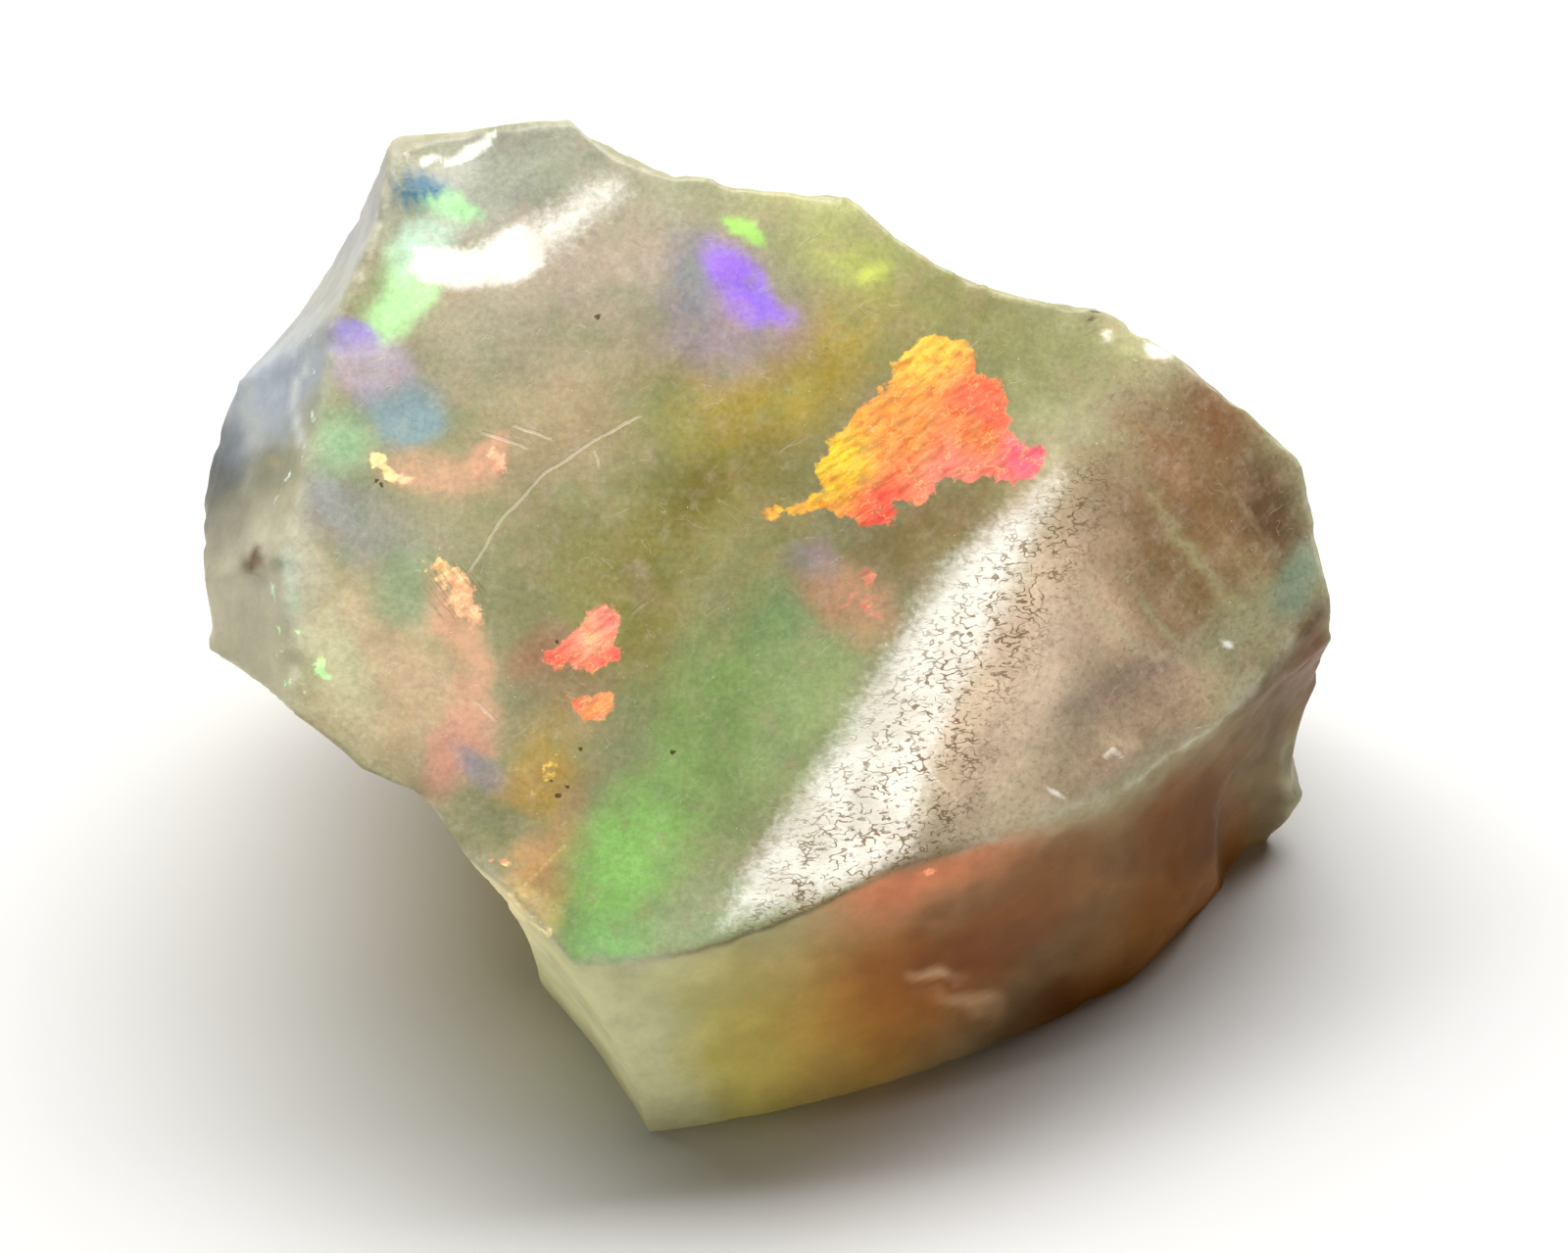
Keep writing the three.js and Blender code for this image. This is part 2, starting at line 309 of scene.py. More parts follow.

# The colours of the stone lie inside it, in flat patches of tiny stacked spheres that bend the light, and are seen
# through the faces; a few patches are painted light or shade instead, marked where they stand. Each is placed as it is
# seen square on to the broad face: the u and v that it has in the level plane through that face, in mm. Each row:
# colour, middle, half length and half width, turn in degrees, strength, and the softness of its edge as a share of its
# size.
EYE_HEIGHT = 124  # mm above the start of w
FACE_HEIGHT = 4  # w of the broad face
BODY = "#a5a17a"
CLOUDS_ON_TOP = {
    "scoop grey": ("#a6a896", (-4.3, 7.3), (2.3, 1.2), 25, 1, 0.5),
    "upper taupe": ("#c9b7a2", (-3.1, 5.7), (2.6, 1.0), 20, 0.9, 0.9),
    "upper sage": ("#b6b79b", (-1.5, 7.0), (2.2, 0.6), -12, 0.8, 0.8),
    "middle sage": ("#b2ad90", (-4.1, 4.4), (1.6, 0.8), -10, 0.7, 0.9),
    "back olive": ("#c0c185", (0.7, 6.5), (1.9, 0.7), -18, 0.9, 0.8),
    "back haze": ("#c8cb84", (1.3, 6.2), (0.8, 0.4), -30, 0.6, 0.9),
    "back right olive": ("#aeaa6c", (2.6, 5.0), (1.7, 0.8), -32, 0.9, 0.9),
    "taupe middle": ("#c4ad86", (-3.1, 2.9), (1.9, 1.3), 25, 0.85, 0.9),
    "olive middle": ("#9c9a68", (-2.7, 1.0), (1.7, 1.3), 15, 0.9, 0.9),
    "green middle": ("#8a9056", (-1.8, 3.1), (1.0, 0.7), 70, 0.8, 0.9),
    "brown olive": ("#83772f", (-0.9, 2.1), (1.6, 0.85), 45, 1, 0.8),
    "gold olive": ("#bca448", (0.1, 4.0), (1.6, 0.9), 25, 0.95, 0.8),
    "lower olive": ("#938b4c", (-2.1, 0.3), (1.4, 1.4), 60, 0.95, 0.8),
    "fire shade": ("#9a8354", (2.3, 1.6), (2.1, 0.6), 30, 0.85, 0.8),
    "left tan": ("#dfc49c", (-6.3, -0.6), (1.6, 1.1), -55, 0.95, 0.7),
    "left brown tan": ("#c9ad88", (-6.3, -1.4), (1.0, 0.5), -40, 0.6, 0.9),
    "left pale green": ("#dbdcae", (-7.2, -0.4), (1.1, 0.45), -65, 0.8, 0.8),
    "small flake halo": ("#b5745c", (-3.9, -0.5), (0.45, 0.4), 20, 0.55, 0.8),
    "small flake foot": ("#b08a66", (-3.3, -1.0), (0.6, 0.3), 10, 0.5, 0.8),
    "left violet grey": ("#a5a5a6", (-7.1, 1.8), (1.1, 0.5), -35, 0.85, 0.8),
    "left sage": ("#b0b199", (-6.2, 1.5), (0.9, 0.5), -10, 0.6, 0.9),
    # partly painted light: pale and mint along the ledge's rim, where light shows through the thin edge
    "left rim pale": ("#dcd8c0", (-7.85, 1.2), (0.9, 0.3), 100, 0.8, 0.9),
    "left rim mint": ("#c4e2d0", (-8.0, 0.5), (0.8, 0.25), 100, 0.6, 0.9),
    "fan green": ("#9fb389", (-6.05, 0.6), (0.6, 0.55), 0, 0.95, 0.6),
    "salmon upper": ("#e9b591", (-5.15, -0.1), (0.9, 0.34), -62, 0.85, 0.6),
    "salmon middle": ("#eab794", (-4.97, -1.2), (0.9, 0.4), -92, 0.85, 0.6),
    "salmon foot": ("#e2a98f", (-5.3, -2.1), (0.75, 0.42), -122, 0.95, 0.5),
    "lilac foot": ("#a19ca0", (-4.8, -2.35), (0.5, 0.28), -40, 0.9, 0.5),
    "gold": ("#c4a155", (-3.85, -2.3), (0.95, 0.6), 65, 0.9, 0.7),
    "gold gap": ("#93976f", (-4.3, -3.2), (0.7, 0.28), -15, 0.9, 0.5),
    "low orange": ("#dcae74", (-3.75, -3.9), (1.0, 0.5), 60, 0.95, 0.5),
    "low yellow": ("#ffe096", (-4.0, -4.55), (0.6, 0.25), -50, 1, 0.5),
    "trough olive": ("#aca368", (-0.5, 1.5), (1.5, 0.7), 50, 0.85, 0.8),
    "trough pale": ("#b4b280", (-1.2, 0.1), (1.0, 0.5), 65, 0.7, 0.8),
    "trough teal": ("#8aa275", (-0.2, -0.1), (0.9, 0.5), 70, 0.95, 0.7),
    "trough green": ("#98b46c", (-1.1, -1.7), (2.1, 1.1), 65, 0.95, 0.6),
    "trough bright green": ("#a4da78", (-2.6, -3.9), (1.5, 0.8), 65, 1, 0.6),
    "trough mint": ("#a8e088", (-2.8, -5.1), (0.8, 0.4), 20, 1, 0.6),
    "trough right green": ("#a3b97a", (0.3, -1.2), (1.6, 0.7), 60, 0.85, 0.8),
    "trough foot": ("#a8bb8a", (-1.2, -4.7), (0.9, 0.6), 25, 0.9, 0.7),
    "coral haze": ("#d9a380", (1.0, 0.45), (0.8, 0.45), -40, 0.8, 0.6),
    "violet haze": ("#b3a0a2", (0.5, 1.15), (0.45, 0.25), -35, 0.75, 0.6),
    # partly painted light: the pale halo beside the highlight on the trough wall
    "pale ridge halo": ("#e2c9ad", (3.9, -0.5), (3.7, 1.15), 62, 1, 0.7),
    "ridge top": ("#e2deac", (5.0, 3.7), (1.3, 0.8), 55, 0.9, 0.8),
    "ridge line": ("#dcdcb0", (5.3, 3.45), (1.3, 0.2), 40, 0.75, 0.7),
    "ridge green": ("#b0b37a", (4.2, 4.1), (1.1, 0.7), 20, 0.85, 0.8),
    "right tan": ("#c6a585", (5.7, 0.2), (2.2, 0.9), -60, 0.8, 0.8),
    "right brown": ("#94704a", (6.7, 2.1), (2.1, 1.2), -56, 0.9, 0.8),
    "right orange brown": ("#8f6442", (7.0, 3.3), (0.6, 0.4), -45, 0.9, 0.7),
    "right dark brown": ("#6d533b", (7.8, 1.8), (0.8, 0.5), -60, 0.95, 0.6),
    "right middle brown": ("#8a6c48", (6.2, 1.1), (1.5, 0.5), -48, 0.8, 0.9),
    "right dark streak": ("#876a4a", (5.7, 0.4), (1.1, 0.24), -47, 0.65, 0.9),
    "right teal": ("#87987e", (8.2, 0.7), (0.65, 0.35), 65, 0.95, 0.5),
    "right sage": ("#a5a27c", (7.1, -0.1), (0.9, 0.4), 40, 0.9, 0.6),
    "right low lilac": ("#9a8474", (5.5, -0.9), (1.1, 0.45), 35, 0.8, 0.7),
    "right low taupe": ("#bba084", (5.3, -1.9), (1.7, 0.5), 38, 0.9, 0.7),
    "long right streak": ("#b2aa7c", (6.55, 1.22), (1.2, 0.1), -51, 0.75, 0.8),
    "low right streak": ("#c4b494", (5.5, -0.15), (1.35, 0.1), -36, 0.7, 0.8),
    "short right streak": ("#b0a880", (5.95, 0.0), (0.95, 0.08), -53, 0.7, 0.8),
    "brown right streak": ("#a5744e", (6.2, 2.5), (0.9, 0.14), -50, 0.5, 0.8),
    "corner blue": ("#4a7488", (-5.8, 6.98), (0.42, 0.3), 0, 1, 0.35),
    "corner green": ("#b3eaa8", (-5.3, 6.7), (0.45, 0.22), -8, 1, 0.35),
    "left mint": ("#cbfdb4", (-6.2, 5.3), (0.95, 0.45), 60, 1, 0.4),
    "upper mint": ("#d6f6dc", (-5.7, 6.1), (0.6, 0.35), 40, 0.9, 0.5),
    "left violet": ("#b39df2", (-7.0, 4.6), (0.45, 0.28), -15, 1, 0.35),
    "left lilac": ("#cbbbcb", (-6.5, 4.0), (0.8, 0.5), -35, 0.85, 0.45),
    "left blue grey": ("#93acae", (-5.95, 3.4), (0.7, 0.55), 10, 0.95, 0.45),
    "left green": ("#a6ca9b", (-7.2, 2.9), (0.6, 0.6), 0, 0.95, 0.5),
    "left salmon": ("#eab995", (-5.6, 2.42), (0.85, 0.3), -10, 0.8, 0.7),
    "left salmon end": ("#f2b996", (-4.7, 2.72), (0.4, 0.24), 50, 0.85, 0.5),
    "violet shade": ("#b09aa8", (-0.9, 5.0), (1.15, 0.9), -30, 0.85, 0.6),
    "violet grey": ("#989a9c", (-1.5, 5.5), (0.45, 0.75), 0, 0.8, 0.6),
    "violet": ("#b588fc", (-0.65, 5.4), (0.8, 0.4), -42, 1, 0.45),
    "violet heart": ("#a878ff", (-0.45, 5.25), (0.4, 0.2), -42, 0.9, 0.5),
    "lime": ("#c2ff80", (-0.55, 6.3), (0.34, 0.14), -25, 1, 0.3),
    "yellow green haze": ("#c2c96c", (1.1, 5.8), (0.7, 0.4), -30, 0.75, 0.8),
    "yellow green": ("#d3dc70", (1.35, 5.55), (0.26, 0.16), 20, 1, 0.5),
}
CLOUDS_ON_WALLS = {
    "front pale": ("#b2b280", (-2.3, -6.9), (1.2, 1.6), 0, 1, 0.7),
    "front yellow green": ("#a89a4c", (-0.5, -6.8), (1.3, 1.6), 0, 0.95, 0.7),
    "front olive brown": ("#a07d38", (1.0, -6.4), (1.2, 1.6), 15, 0.95, 0.7),
    "front brown": ("#8c5418", (2.1, -5.6), (1.3, 1.3), 25, 0.95, 0.7),
    "front deep brown": ("#6a3a14", (3.6, -4.9), (2.0, 1.0), 30, 0.95, 0.7),
    # painted shade: dark along the foot of the front wall
    "front foot shade": ("#4a2800", (4.9, -5.8), (2.4, 0.8), 32, 1, 0.8),
    "front foot amber": ("#6a3f04", (6.4, -4.3), (1.6, 0.7), 42, 1, 0.7),
    "front red": ("#c4764e", (2.3, -3.95), (1.5, 0.5), 22, 0.95, 0.6),
    "front bar": ("#c09a74", (2.4, -5.57), (0.36, 0.12), 0, 0.65, 0.9),
    "front low bar": ("#b8926c", (2.9, -6.05), (0.5, 0.15), -4, 0.55, 0.9),
    "front right red": ("#7c4a1a", (4.2, -3.8), (1.2, 0.6), 20, 0.8, 0.8),
    "right wall brown": ("#633800", (6.5, -3.1), (1.9, 1.1), 45, 1, 0.7),
    "right wall pale": ("#563a04", (7.8, -1.2), (1.2, 0.6), 60, 0.95, 0.7),
    "right edge brown": ("#5e380a", (8.4, -0.3), (0.9, 0.4), 80, 0.95, 0.7),
    "lobe brown": ("#665536", (7.8, -2.8), (0.5, 0.9), 0, 0.9, 0.6),
    "lobe grey": ("#918b6c", (8.2, -2.8), (0.28, 0.8), 0, 0.9, 0.5),
    "strip": ("#b2b084", (-3.2, -6.0), (3.0, 0.8), -50, 1, 0.6),
    "strip upper": ("#d3c595", (-4.6, -4.4), (0.8, 0.5), -60, 0.9, 0.7),
    "ledge pale": ("#bbb59a", (-8.6, 0.6), (0.9, 1.6), 0, 1, 0.7),
    "ledge foot": ("#c2bc9c", (-8.2, -0.6), (0.9, 0.6), -40, 0.9, 0.7),
    # painted shade: the dark far-left side of the ledge
    "ledge shade": ("#5d5d55", (-9.0, 2.8), (0.55, 1.4), -10, 1, 0.8),
    "ledge blue": ("#a2abb6", (-8.0, 3.9), (1.3, 0.7), 55, 0.95, 0.7),
    # painted reflections: light streaks down the glassy ledge
    "ledge reflection": ("#d8dad6", (-7.72, 3.5), (0.8, 0.1), 88, 0.8, 0.7),
    "ledge dim reflection": ("#b4b6b0", (-8.45, 3.1), (0.7, 0.12), 80, 0.7, 0.8),
    "ledge olive": ("#87866c", (-8.2, 2.5), (0.4, 0.4), 0, 0.9, 0.6),
    "ledge spot": ("#644a26", (-8.55, 1.0), (0.25, 0.17), 15, 1, 0.45),
    "ledge faint spot": ("#a39a72", (-8.3, 2.6), (0.13, 0.13), 0, 0.8, 0.5),
    "top left grey": ("#acaba4", (-6.8, 6.5), (1.8, 0.6), 60, 0.95, 0.7),
}

# The flakes of fire have crisp, ragged edges: their corners, their colours each with its place, their strength and how
# far from the edge they fade, in mm
FLAKES = {
    "big flake": (
        [(2.27, 4.66), (2.9, 4.6), (3.1, 4.08), (3.47, 3.9), (3.6, 3.25), (3.8, 2.8), (4.1, 2.9), (4.2, 2.5),
         (3.8, 2.3), (3.1, 2.35), (2.4, 2.3), (2.25, 1.95), (1.8, 2.0), (1.75, 1.62), (1.25, 1.62), (0.8, 1.85),
         (0.3, 1.84), (-0.4, 1.7), (-0.4, 1.82), (0.3, 2.0), (0.6, 2.2), (0.45, 2.6), (0.65, 2.8), (1.1, 3.4),
         (1.7, 3.9), (1.75, 4.2)],
        [("#ffcf52", (2.3, 4.3)), ("#ff9c4a", (2.0, 3.3)), ("#ffd43e", (0.85, 2.6)), ("#ff8c50", (3.0, 3.0)),
         ("#ff6f55", (3.2, 3.5)), ("#ff6a80", (3.8, 2.6)), ("#ff5f50", (1.5, 1.85)), ("#ff8a78", (2.7, 2.4))],
        1, 0.3),
    "small flake": (
        [(-2.9, 0.4), (-2.64, 0.17), (-2.67, -0.25), (-2.6, -0.53), (-3.0, -0.7), (-3.36, -0.66), (-3.85, -0.6),
         (-3.8, -0.4), (-3.36, -0.14), (-3.15, 0.17)],
        [("#ff8a80", (-2.8, 0.2)), ("#ffb088", (-3.1, -0.2)), ("#ff7a66", (-3.7, -0.5)), ("#ff7060", (-2.8, -0.5))],
        1, 0.3),
    "small low flake": (
        [(-3.4, -1.17), (-2.8, -1.05), (-2.75, -1.33), (-3.03, -1.62), (-3.2, -1.44)],
        [("#ff9e60", (-3.0, -1.4)), ("#ff8a68", (-3.3, -1.2))],
        1, 0.3),
    "fan": (
        [(-5.85, 1.12), (-5.5, 1.15), (-5.1, 0.95), (-4.85, 0.55), (-4.78, 0.1), (-5.0, -0.1), (-5.3, 0.3),
         (-5.6, 0.8)],
        [("#ffdb96", (-5.6, 0.8)), ("#fbc095", (-5.1, 0.4))],
        0.85, 0.35),
    "left streak": (
        [(-6.6, 2.75), (-6.35, 2.8), (-6.15, 2.5), (-5.9, 2.3), (-6.1, 2.2), (-6.45, 2.4)],
        [("#ffe2a0", (-6.45, 2.65)), ("#f7c69a", (-5.95, 2.3))],
        0.9, 0.35),
    "left streak end": (
        [(-4.7, 2.85), (-4.45, 2.75), (-4.35, 2.5), (-4.6, 2.45), (-4.72, 2.6)],
        [("#f7b592", (-4.5, 2.6))],
        0.9, 0.35),
    "faint lilac flake": (
        [(0.4, 1.25), (0.75, 1.2), (1.05, 0.75), (0.8, 0.45), (0.5, 0.7)],
        [("#b0959c", (0.7, 0.9))],
        0.42, 0.3),
    "faint coral flake": (
        [(1.2, 1.2), (1.6, 1.1), (1.75, 0.4), (1.85, 0.0), (1.5, -0.15), (0.7, 0.25), (0.9, 0.6)],
        [("#d2826a", (1.5, 0.7)), ("#d8907a", (1.5, 0.1))],
        0.48, 0.25),
    "left green flash": (
        [(-7.55, -0.35), (-7.3, -0.4), (-7.2, -0.8), (-7.35, -0.95), (-7.5, -0.8)],
        [("#eaff9a", (-7.4, -0.6)), ("#b8f5b0", (-7.3, -0.9))],
        0.75, 0.25),
    "left green fleck": (
        [(-8.1, -0.2), (-7.9, -0.1), (-7.5, -1.2), (-7.0, -1.7), (-7.1, -1.9), (-7.7, -1.5)],
        [("#b4ecbc", (-7.6, -1.0))],
        0.46, 0.2),
    # painted highlight: the pale mint line along the ledge's rim
    "left rim": (
        [(-7.6, 4.7), (-7.45, 4.7), (-7.42, 3.2), (-7.6, 2.6), (-7.85, 2.2), (-8.2, 1.7), (-8.3, 1.2), (-8.0, 0.4),
         (-7.95, -0.6), (-8.15, -0.5), (-8.35, 1.2), (-8.3, 1.9), (-8.0, 2.4), (-7.72, 2.8), (-7.62, 3.3)],
        [("#d8ecdc", (-7.8, 2.6)), ("#c6ead0", (-8.2, 0.8))],
        0.56, 0.14),
    "left green dash": (
        [(-8.0, -0.85), (-7.8, -0.83), (-7.75, -0.97), (-7.95, -1.0)],
        [("#c0ecb2", (-7.9, -0.9))],
        0.85, 0.15),
    "left yellow dash": (
        [(-7.1, -0.8), (-6.65, -0.98), (-6.7, -1.12), (-7.05, -0.98)],
        [("#dbe8a2", (-6.9, -1.0))],
        0.65, 0.2),
    "left green line": (
        [(-7.85, 0.05), (-7.7, 0.0), (-7.45, -0.7), (-7.6, -0.7)],
        [("#c8ffb0", (-7.6, -0.4))],
        0.7, 0.25),
    "gold glint": (
        [(-4.15, -2.7), (-3.9, -2.65), (-3.95, -2.95), (-4.15, -2.95)],
        [("#ffe07a", (-4.0, -2.8))],
        0.7, 0.3),
    "gold sparkle": (
        [(-4.5, -2.6), (-3.6, -1.7), (-3.2, -2.2), (-3.5, -2.9), (-4.2, -3.1)],
        [("#e6c062", (-3.9, -2.6))],
        0.38, 0.2),
    "low red speck": (
        [(-4.8, -3.5), (-4.5, -3.7), (-4.2, -3.7), (-4.35, -3.88), (-4.7, -3.8)],
        [("#ff9a80", (-4.5, -3.7))],
        0.8, 0.25),
    "low tip": (
        [(-4.6, -4.2), (-4.35, -4.15), (-3.6, -4.9), (-3.7, -5.1), (-4.1, -4.85)],
        [("#ffe9a0", (-4.0, -4.6))],
        0.6, 0.25),
    "front streak": (
        [(1.5, -4.15), (2.35, -3.8), (2.5, -3.9), (1.8, -4.3)],
        [("#f08a6a", (2.0, -4.0))],
        0.75, 0.35),
}
# Frost and painted highlights: the frosted band on the trough wall with a painted highlight over it, and painted
# highlights in the scoop, on the chip and as glints on the ridge and rims. Their corners, and how far from the edge
# they fade, in mm
FROST_AND_HIGHLIGHTS = {
    "trough wall": (
        [(-1.1, -4.9), (-0.8, -4.1), (-0.2, -3.2), (0.6, -2.0), (1.6, -0.4), (2.5, 1.0), (3.2, 1.6), (3.9, 2.2),
         (4.4, 2.6), (4.5, 2.3), (4.0, 1.2), (3.5, 0.0), (2.8, -1.2), (2.4, -2.5), (2.1, -3.7), (0.9, -4.3)], 0.45),
    "scoop": (
        [(-6.05, 5.7), (-5.75, 5.45), (-5.1, 5.32), (-4.3, 5.55), (-3.9, 5.8), (-4.2, 6.35), (-4.5, 6.2), (-5.0, 6.05),
         (-5.9, 6.05)], 0.16),
    "scoop end": (
        [(-4.3, 5.6), (-3.5, 6.0), (-2.45, 6.95), (-2.6, 7.25), (-3.1, 7.1), (-3.8, 6.65), (-4.4, 6.25)], 0.5),
    "chip edge": (
        [(-6.15, 7.55), (-5.8, 7.34), (-5.2, 7.32), (-4.7, 7.6), (-4.5, 8.0), (-4.95, 7.72), (-5.3, 7.5),
         (-5.8, 7.5)], 0.05),
    "ridge glint": ([(5.7, 4.55), (6.0, 4.6), (6.35, 4.35), (6.1, 4.2), (5.8, 4.3)], 0.12),
    "ridge speck": ([(5.05, 4.7), (5.25, 4.75), (5.25, 4.55), (5.1, 4.5)], 0.1),
    "right glint": ([(6.95, -0.2), (7.15, -0.2), (7.2, -0.35), (7.0, -0.38)], 0.08),
    "low chip": ([(5.05, -2.05), (5.25, -1.9), (5.42, -2.05), (5.4, -2.15), (5.25, -2.0), (5.15, -2.15)], 0.06),
    "low left chip": ([(4.15, -2.55), (4.35, -2.6), (4.5, -2.75), (4.4, -2.75), (4.25, -2.66)], 0.06),
}
# Healed cracks and deep scratches, as straight lines from one point to another
SCRATCHES = [
    ((-5.0, 0.9), (-4.55, 1.65)), ((-4.55, 1.65), (-3.8, 2.45)), ((-3.8, 2.45), (-2.9, 3.05)),
    ((-2.9, 3.05), (-2.3, 3.35)), ((-3.1, 3.0), (-2.95, 2.55)), ((-4.8, 3.1), (-4.1, 2.85)),
    ((-4.3, 3.2), (-3.7, 3.0)), ((-4.9, -1.2), (-4.6, -1.5)),
]
SCRATCH_REACH = 0.25  # the scratch field is kept this far to the side, mm


def linear(colour):
    """Linear light from an sRGB hex."""
    parts = np.array([int(colour[i:i + 2], 16) for i in (1, 3, 5)]) / 255
    return np.where(parts <= 0.04045, parts / 12.92, ((parts + 0.055) / 1.055) ** 2.4)


def blob(points, middle, halves, turn):
    """Distance from the middle of an ellipse turned by some degrees, in shares of its half length and half width."""
    turn = np.radians(turn)
    from_middle = points - middle
    along = from_middle @ [np.cos(turn), np.sin(turn)]
    across = from_middle @ [-np.sin(turn), np.cos(turn)]
    return np.hypot(along / halves[0], across / halves[1])


def from_outline(points, corners):
    """Distance from a closed outline, below 0 inside it: the least distance to any side, with the sign set by how
    many sides a line to the right crosses."""
    least = np.full(len(points), 1e9)
    inside = np.zeros(len(points), bool)
    corners = np.array(corners, float)
    for start, end in zip(corners, np.roll(corners, -1, axis=0)):
        side = end - start
        part = np.clip((points - start) @ side / (side @ side), 0, 1)
        least = np.minimum(least, np.linalg.norm(points - start - part[:, None] * side, axis=1))
        between = (start[1] > points[:, 1]) != (end[1] > points[:, 1])
        crossing = start[0] + (points[:, 1] - start[1]) / (side[1] or 1e-9) * side[0]
        inside ^= between & (points[:, 0] < crossing)
    return np.where(inside, -least, least)


def laid_over(body, clouds, where, points):
    """Body colours with each cloud mixed in, where it may be."""
    for colour, middle, halves, turn, strength, softness in clouds.values():
        share = strength * where * (1 - smooth_step(blob(points, middle, halves, turn), 1 - softness, 1 + softness))
        body = body + share[:, None] * (linear(colour) - body)
    return body


seen = place[:, :2] * (EYE_HEIGHT - FACE_HEIGHT) / (EYE_HEIGHT - place[:, 2:])
wander = np.stack([cloudy(place, 0.9, 11), cloudy(place, 0.9, 23)], -1) * 0.16
wander += np.stack([cloudy(place, 0.35, 31), cloudy(place, 0.35, 43)], -1) * 0.1
wander += np.stack([cloudy(place, 0.2, 51), cloudy(place, 0.2, 37)], -1) * 0.05
strayed = seen + wander
in_view = smooth_step(outward[:, 2] + 1.2 * on["base"], -0.05, 0.15)
on_top = facing_up * in_view
on_walls = (1 - facing_up) * smooth_step(outward[:, 2] + 1.2 * on["base"], -0.45, 0.1)
body = np.tile(linear(BODY), (len(place), 1))

# The far sides hold the same kinds of patch, strewn about
strewn = np.random.default_rng(12)
palette = ["#9a8c52", "#7d6428", "#a9a27a", "#a58459", "#8a5f38", "#8fa46a", "#c2bca4", "#a9917f", "#a98c50",
           "#74502a", "#96a08e"]
far_points = place[in_view < 0.4]
for _ in range(70):
    middle = far_points[strewn.integers(len(far_points))]
    halves = strewn.uniform(0.5, 2.2)
    colour = palette[strewn.integers(len(palette))]
    distance = np.linalg.norm(place + wander[:, [0, 1, 0]] - middle, axis=1) / halves
    share = (1 - in_view) * 0.85 * (1 - smooth_step(distance, 0.2, 1.4))
    body += share[:, None] * (linear(colour) - body)
body = laid_over(body, CLOUDS_ON_TOP, on_top, strayed)
body = laid_over(body, CLOUDS_ON_WALLS, on_walls, strayed)

# Fire: how far inside a flake each point is, 0.5 on its edge, and the flake's colour there
fire = np.zeros((len(place), 3))
fire_level = np.zeros(len(place))
for corners, colours, strength, fade in FLAKES.values():
    level = in_view * strength * np.clip(0.5 - from_outline(seen, corners) / (2 * fade), 0, 1)
    nearness = [1 / (np.linalg.norm(strayed - at, axis=1) ** 2 + 0.02) ** 1.5 for _, at in colours]
    colour = sum(near[:, None] * linear(tone) for near, (tone, _) in zip(nearness, colours))
    colour /= sum(nearness)[:, None]
    nearer = (from_outline(seen, corners) < 0.4)[:, None]
    fire = np.where(nearer, colour, fire)
    fire_level = np.maximum(fire_level, level)
glints = ["#ff8a5a", "#ffc25a", "#a8e070", "#7fd8b0", "#9a86f0", "#ff7f70"]
for _ in range(12):
    middle = far_points[strewn.integers(len(far_points))]
    size = strewn.uniform(0.2, 0.7)
    colour = linear(glints[strewn.integers(len(glints))])
    distance = np.linalg.norm((place - middle) * strewn.uniform(0.4, 2.0, 3), axis=1)
    level = (1 - smooth_step(outward[:, 2], -0.4, -0.15)) * np.clip(0.5 - (distance - size) / 1.2, 0, 0.62)
    fire = np.where((level > fire_level)[:, None], colour, fire)
    fire_level = np.maximum(fire_level, level)

# Frost with a painted highlight over it, and painted glints, on the faces that look up
frost_highlight = sum(np.clip(0.5 - from_outline(seen, corners) / (2 * fade), 0, 1) for corners, fade in FROST_AND_HIGHLIGHTS.values())
frost_highlight = np.minimum(frost_highlight, 1) * on_top
pitted = smooth_step(-from_outline(seen - (0.5, -0.2), FROST_AND_HIGHLIGHTS["trough wall"][0]), -0.7, 0.5) * on_top
right_grain = on["right face"] * in_view
faces_up = np.array([name in FACING_UP for name in NAMES if name not in WORN_TOGETHER])
up_reach = np.minimum(rows[0], rows[1:][faces_up].min(0))
# Painted light on the rims around the faces that look up, pale where light shows through the thin edge; below the band
# the rim is painted dark instead
painted_rim = np.exp(-np.abs(up_reach - rows[1:][~faces_up].min(0)) / RIM_WIDTH)
below_band = smooth_step(seen[:, 0], -2.5, -1) * (1 - smooth_step(seen[:, 0], 2.6, 3.4)) * (seen[:, 1] < -2.5)
body += (0.7 * below_band * painted_rim**2)[:, None] * (linear("#6f6242") - body)
painted_rim *= 1 - 0.9 * below_band
scratch_side = np.full(len(place), SCRATCH_REACH)
scratch_here = np.zeros(len(place))
for start, end in np.array(SCRATCHES):
    side = end - start
    length = np.linalg.norm(side)
    along = (seen - start) @ side / length
    across = (seen - start) @ [-side[1], side[0]] / length
    here = smooth_step(along, -0.08, 0.05) * (1 - smooth_step(along, length - 0.05, length + 0.08))
    here *= on_top * (1 - smooth_step(np.abs(across), 0.12, 0.2))
    stronger = here > scratch_here
    scratch_side = np.where(stronger, across, scratch_side)
    scratch_here = np.where(stronger, here, scratch_here)
above_floor = place @ lean_up[:, 2] + STAND[2]
# Painted glow: emission that stands in for light coming through the stone, stronger on the walls that face the front
# and on the right face, with painted shade towards the floor, where it fades out
glow = 0.24 + 0.08 * facing_up + 0.36 * (1 - facing_up) * smooth_step(-outward[:, 1], 0, 0.6)
glow += 0.1 * on["right face"]
glow *= smooth_step(above_floor, -2, 2)
AS_SEEN = 0.97  # the colours above are as they look in full light, in which the stone gives back this share
body, fire = body * AS_SEEN, fire * AS_SEEN

